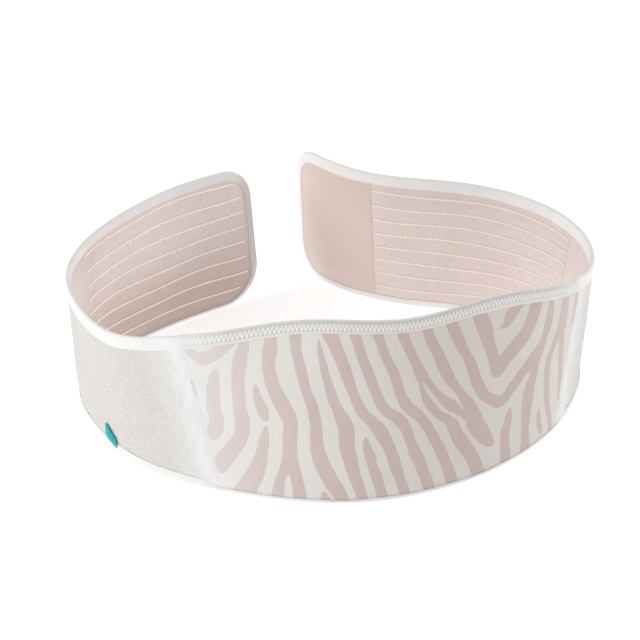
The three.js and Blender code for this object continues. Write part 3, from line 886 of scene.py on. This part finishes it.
def straight(start, stop, up_of, inward):
    """Places along the top or lower edge, each with its way inwards."""
    along = np.linspace(start, stop, max(2, round(abs(stop - start) / PATH_STEP)))
    return np.stack([along, up_of(along), 0 * along + inward[0], 0 * along + inward[1]], -1)


def corner_arc(side, level, first_angle):
    """Places round a rounded corner."""
    radius = CORNERS[side][level]
    angle = np.radians(first_angle + np.linspace(0, 90, ARC_POINTS + round(radius / 2)))
    along = side * (BELT_END - radius) + radius * np.cos(angle)
    middle = top_at(along) - radius if level == "top" else 0 * along + radius
    return np.stack([along, middle + radius * np.sin(angle), -np.cos(angle), -np.sin(angle)], -1)


def end_edge(side, downwards):
    """Places down or up a free end."""
    high = float(top_at(side * BELT_END)) - CORNERS[side]["top"]
    low = CORNERS[side]["lower"]
    up = np.linspace(*((high, low) if downwards else (low, high)), round((high - low) / PATH_STEP))
    return np.stack([0 * up + side * BELT_END, up, 0 * up - side, 0 * up], -1)


def end_to_end(*stretches):
    """One path out of stretches that start where the last one stops."""
    return np.concatenate([stretches[0], *(stretch[1:] for stretch in stretches[1:])])


def binding_legs(path):
    """How far the tape reaches in over the outer and the inner face."""
    along, up = path[:, 0], path[:, 1]
    on_top, on_lower = np.clip(-path[:, 3], 0, 1), np.clip(path[:, 3], 0, 1)
    clear = np.clip((np.abs(along) - PRINT_LOWER_LENGTH / 2) / SEAM_TAPE_WIDTH, 0, 1)
    lower_outer = LEG_OVER_PRINT + (LOWER_OUTER_LEG - LEG_OVER_PRINT) * clear
    rightwards = eased(along / LEG_CHANGES_OVER + 0.5)
    top_inner, lower_inner = (
        INNER_LEGS["left"][level] + (INNER_LEGS["right"][level] - INNER_LEGS["left"][level]) * rightwards
        for level in ("top", "lower"))
    wander = LEG_WANDER * np.sin(along / 13 + up / 9) * np.sin(along / 31)
    outer = BINDING_LEG + (lower_outer - BINDING_LEG) * on_lower + wander
    inner = (END_INNER_LEG + (top_inner - END_INNER_LEG) * on_top + (lower_inner - END_INNER_LEG) * on_lower
             - wander)
    return outer, inner


def folded_tape(path, outer_leg, inner_leg):
    """A mesh folded over the edge along a path, outer leg first, and the flat places of its vertices."""
    count = 2 * LEG_POINTS + FOLD_POINTS
    mesh, share, row = flat_grid(len(path) - 1, count)
    i = np.rint(share * (len(path) - 1)).astype(int)
    k = np.rint(row * count).astype(int)
    leg = np.where(k < count / 2, outer_leg[i], inner_leg[i])
    from_tip = np.minimum(k, count - k) / LEG_POINTS
    turn = np.clip((k - LEG_POINTS) / FOLD_POINTS, 0, 1) * math.pi
    on_leg = np.clip(from_tip, 0, 1)
    reach = np.where(from_tip < 1, leg + (TAPE_FOLD - leg) * on_leg, TAPE_FOLD * (1 - np.sin(turn)))
    face = TAPE_LIES_AT + TAPE_BELLY * np.sin(on_leg * math.pi * 0.5)
    face = face * np.where(from_tip < 1, np.sign(count / 2 - k), np.cos(turn))
    pucker = TAPE_PUCKER * np.sin(path[i, 0] / 1.9 + path[i, 1] / 2.3) * np.sin(on_leg * math.pi)
    along = path[i, 0] + path[i, 2] * reach
    up = path[i, 1] + path[i, 3] * reach
    stand_up(mesh, along, up, face + pucker * np.sign(face))
    return mesh, along, up


def sewn_leg(path, leg, face_side):
    """A row of stitches along one leg of the binding."""
    lengths = np.concatenate([[0], np.cumsum(np.linalg.norm(np.diff(path[:, :2], axis=0), axis=1))])
    places = np.arange(BINDING_STITCH, lengths[-1] - BINDING_STITCH, BINDING_STITCH / 4)
    inset_leg = np.maximum(leg - BINDING_STITCH_INSET, BINDING_STITCH_REACH)
    along, up, inward_along, inward_up, reach = (
        np.interp(places, lengths, column) for column in (*path.T, inset_leg))
    out = np.full(len(places), face_side * (TAPE_LIES_AT + TAPE_BELLY * BINDING_STITCH_LIFT))
    along, up = along + inward_along * reach, up + inward_up * reach
    return stitched(along, up, out, BINDING_STITCH, BINDING_THREAD)


trim_end = PRINT_TOP_LENGTH / 2
binding_path = end_to_end(
    straight(-trim_end, CORNERS[-1]["top"] - BELT_END, top_at, (0, -1)),
    corner_arc(-1, "top", 90),
    end_edge(-1, True),
    corner_arc(-1, "lower", 180),
    straight(foot[0], foot[-1], lambda along: 0 * along, (0, 1)),
    corner_arc(1, "lower", 270),
    end_edge(1, False),
    corner_arc(1, "top", 0),
    straight(BELT_END - CORNERS[1]["top"], trim_end, top_at, (0, -1)),
)
outer_leg, inner_leg = binding_legs(binding_path)
stretchy = Finish("binding_tape", 0.55, sheen=0.1)
along_binding = stretchy.along()
binding_white = stretchy.patches(14, (244, 243, 241), (237, 236, 234))
# Painted shade: the binding is darker and greyish pink at the left free end.
shaded_left_end = along_binding.between(-606, -612)
binding_painted_shade = stretchy.mixed(shaded_left_end * 0.55, binding_white, dye(208, 198, 193))
binding_weave = along_binding.ribs(BINDING_RIB) * 0.4 + stretchy.speckle(1.2) * 0.6
stretchy.set(binding_painted_shade, binding_weave, BINDING_DEPTH)

binding_mesh, _, _ = folded_tape(binding_path, outer_leg, inner_leg)
binding = make_piece("edge_binding", binding_mesh, stretchy,
                     ["binding_left", "binding_lower", "binding_right"], wall=TAPE_WALL)
lines = [sewn_leg(binding_path, outer_leg, 1), sewn_leg(binding_path, inner_leg, -1)]
binding_stitches = threads("binding_stitches", lines, white_thread)
binding_width = float(np.mean(outer_leg + inner_leg)) + math.pi * TAPE_FOLD / 2


# Elastic trim
# The top of the printed panel is finished with a flat greyish elastic, folded over the edge and
# sewn on with one broad zigzag. Below the zigzag a narrow pale strip of the elastic shows.

TRIM_FRONT_LEG = 11
TRIM_BACK_LEG = 9
ZIGZAG_TOP = 0.9
ZIGZAG_FOOT = 7.9
ZIGZAG_PITCH = 3.7
ZIGZAG_THREAD = 0.8
ZIGZAG_LIFT = 0.35
ZIGZAG_SUNK_TIPS = 0.4
TRIM_NARROWS = 1.2
TRIM_WANDER = 0.2
TRIM_CORD = 0.9
TRIM_DEPTH = 0.12

elastic = Finish("elastic_trim", 0.75)
along_trim = elastic.along()
cords = along_trim.ribs(TRIM_CORD)
from_top = elastic.value_of("from_top")
below_zigzag_top = from_top.between(ZIGZAG_TOP - 0.8, ZIGZAG_TOP + 0.3)
under_zigzag = below_zigzag_top * from_top.between(ZIGZAG_FOOT + 0.8, ZIGZAG_FOOT - 0.3)
pale_strip = from_top.between(ZIGZAG_FOOT, ZIGZAG_FOOT + 0.8)
trim_grey = elastic.patches(6, (243, 242, 239), (236, 235, 232))
trim_grooved = elastic.mixed(under_zigzag * (cords * 0.2 + 0.6), trim_grey, dye(204, 200, 196))
trim_striped = elastic.mixed(pale_strip, trim_grooved, dye(238, 233, 228))
# Painted light: the elastic is paler near both its ends, beside the seams.
trim_lit_near_ends = abs(along_trim).between(150, 194)
trim_painted_light = elastic.mixed(trim_lit_near_ends * 0.85, trim_striped, dye(240, 239, 237))
elastic.set(trim_painted_light, cords, TRIM_DEPTH)

trim_path = straight(trim_end, -trim_end, top_at, (0, -1))
from_middle = np.abs(trim_path[:, 0] + 35)
narrowed = TRIM_NARROWS * eased((130 - from_middle) / 80)
front_leg = TRIM_FRONT_LEG - narrowed + TRIM_WANDER * np.sin(trim_path[:, 0] / 11)
back_leg = np.full(len(trim_path), TRIM_BACK_LEG)
trim_mesh, along, up = folded_tape(trim_path, front_leg, back_leg)
trim_mesh.attributes.new("from_top", "FLOAT", "POINT").data.foreach_set("value", top_at(along) - up)

elastic_trim = make_piece(
    "elastic_edge", trim_mesh, elastic, ["top_trim"], wall=TAPE_WALL)
strokes = np.arange(1 - trim_end, trim_end - 1, ZIGZAG_PITCH / 8)
sawtooth = np.abs((strokes / ZIGZAG_PITCH % 1) * 2 - 1)
drop = ZIGZAG_TOP + (ZIGZAG_FOOT - ZIGZAG_TOP) * sawtooth
over_fold = np.sqrt(1 - np.clip(1 - drop / TAPE_FOLD, 0, 1) ** 2)
sunk = ZIGZAG_SUNK_TIPS * np.abs(2 * sawtooth - 1) ** 6
face = (TAPE_LIES_AT + TAPE_BELLY * 0.9) * over_fold + ZIGZAG_LIFT - sunk
radii = np.full(len(strokes), ZIGZAG_THREAD)
radii[[0, -1]] = THREAD_TIP
lines = [
    (np.stack([strokes, top_at(strokes) - drop, face_side * face], -1), radii) for face_side in (1, -1)]
zigzag = threads("trim_zigzag", lines, white_thread)


# Side tag
# A short piece of teal ribbon, folded over, is sewn on just above the lower edge of the left wing
# and lies flat there like a small leaf, its taller side towards the free end. It is left bare.

TAG_WIDTH = 16
TAG_TALL_SIDE = 15
TAG_SHORT_SIDE = 9
TAG_SKEW = 2.5
TAG_FROM_LEFT_END = 338
TAG_ABOVE_FLOOR = 6
TAG_STEPS = (20, 20)
TAG_PINCH = 0.12
TAG_LIFT = 0.5
TAG_BELLY = 0.7
TAG_WALL = 0.9
TAG_RIB = 0.7
TAG_DEPTH = 0.08

ribbon = Finish("teal_ribbon", 0.5, sheen=0.05)
teal = ribbon.patches(3, (0, 176, 178), (0, 162, 166))
ribbon.set(teal, ribbon.up().ribs(TAG_RIB), TAG_DEPTH)

mesh, share, row = flat_grid(*TAG_STEPS)
tall = TAG_TALL_SIDE + (TAG_SHORT_SIDE - TAG_TALL_SIDE) * share
pinched = TAG_PINCH * np.abs(2 * share - 1) ** 6
up = TAG_ABOVE_FLOOR + tall * (row + pinched * (1 - 2 * row)) + TAG_SKEW * (1 - 2 * share)
along = TAG_FROM_LEFT_END - BELT_END + TAG_WIDTH * share
out = BINDING_FACE + TAG_LIFT + TAG_BELLY * np.sin(np.pi * row) * np.sin(np.pi * share)
stand_up(mesh, along, up, out)
side_tag = make_piece("side_tag", mesh, ribbon, ["edge_tag"], wall=TAG_WALL)


# Floor, light and camera
# The belt stands on a plain white floor in a bright, even studio: a white room all round, a large
# soft light above on the left, a little in front, and a smaller one behind on the right.

WHITE = (1, 1, 1, 1)
FLOOR_SIZE = 60
FLOOR_GREY = (0.7, 0.7, 0.7, 1)
FLOOR_ROUGHNESS = 0.9
FLOOR_GLOW = 0.55
ROOM_STRENGTH = 0.54
LIGHT_AIM = Vector((0, 0, 0.05))
KEY_LIGHT = {"place": Vector((-2.3, -0.9, 1.3)), "size": 1.4, "power": 28}
RIM_LIGHT = {"place": Vector((2.2, 1.0, 1.0)), "size": 1.2, "power": 23}
CAMERA_PLACE = Vector((-0.0135, -1.0369, 0.6426))
CAMERA_AIM = Vector((-0.0135, 0, 0.05205))
SENSOR = 36
LENS = 73.5

grid = bmesh.new()
bmesh.ops.create_grid(grid, x_segments=1, y_segments=1, size=FLOOR_SIZE / 2)
floor_mesh, _, _ = as_mesh(grid)
floor_white = bpy.data.materials.new("floor_white")
floor_white.use_nodes = True
floor_shader = floor_white.node_tree.nodes["Principled BSDF"]
floor_shader.inputs["Base Color"].default_value = FLOOR_GREY
floor_shader.inputs["Roughness"].default_value = FLOOR_ROUGHNESS
floor_shader.inputs["Specular IOR Level"].default_value = 0
floor_shader.inputs["Emission Color"].default_value = WHITE
floor_shader.inputs["Emission Strength"].default_value = FLOOR_GLOW
floor_mesh.materials.append(floor_white)
floor = bpy.data.objects.new("floor", floor_mesh)
bpy.context.scene.collection.objects.link(floor)

room = bpy.data.worlds.new("white_room")
room.use_nodes = True
room.node_tree.nodes["Background"].inputs["Color"].default_value = WHITE
room.node_tree.nodes["Background"].inputs["Strength"].default_value = ROOM_STRENGTH
bpy.context.scene.world = room


def put(name, data, place, aim):
    """Puts a light or a camera in the scene, so that it faces a place."""
    thing = bpy.data.objects.new(name, data)
    thing.location = place
    thing.rotation_euler = (aim - place).to_track_quat("-Z", "Y").to_euler()
    bpy.context.scene.collection.objects.link(thing)
    return thing


def soft_light(name, place, size, power):
    """A large square light that faces the belt."""
    lamp = bpy.data.lights.new(name, "AREA")
    lamp.shape = "SQUARE"
    lamp.size = size
    lamp.energy = power
    put(name, lamp, place, LIGHT_AIM)


soft_light("key_light", **KEY_LIGHT)
soft_light("rim_light", **RIM_LIGHT)

lens = bpy.data.cameras.new("camera")
lens.sensor_width = SENSOR
lens.lens = LENS
bpy.context.scene.camera = put("camera", lens, CAMERA_PLACE, CAMERA_AIM)
bpy.context.scene.view_settings.view_transform = "Standard"
